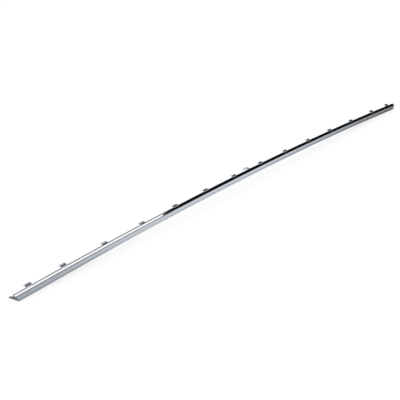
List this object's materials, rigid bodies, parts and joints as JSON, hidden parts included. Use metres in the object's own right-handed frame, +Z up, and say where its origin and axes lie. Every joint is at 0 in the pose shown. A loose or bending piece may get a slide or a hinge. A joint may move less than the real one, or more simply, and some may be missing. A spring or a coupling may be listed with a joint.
{
  "type": "bumper trim strip",
  "caption": "Long slender chrome-plated bumper trim moulding, gently bowed, with a ridged front, snap clips along its rear edge, a locating hook near the middle and a foot at each end.",
  "frame": {"origin": "centre of the strip's outline on the floor that its two ends stand on", "axes": "+X along the strip, -Y the side that is seen on the car, +Y the side that the clips and feet point to, +Z up"},
  "size_m": [1.4864, 0.024, 0.0317],
  "materials": {
    "plated_plastic": "bright chrome plating on moulded plastic"
  },
  "bodies": {
    "root": {"trim_moulding": "plated_plastic"}
  },
  "joints": []
}
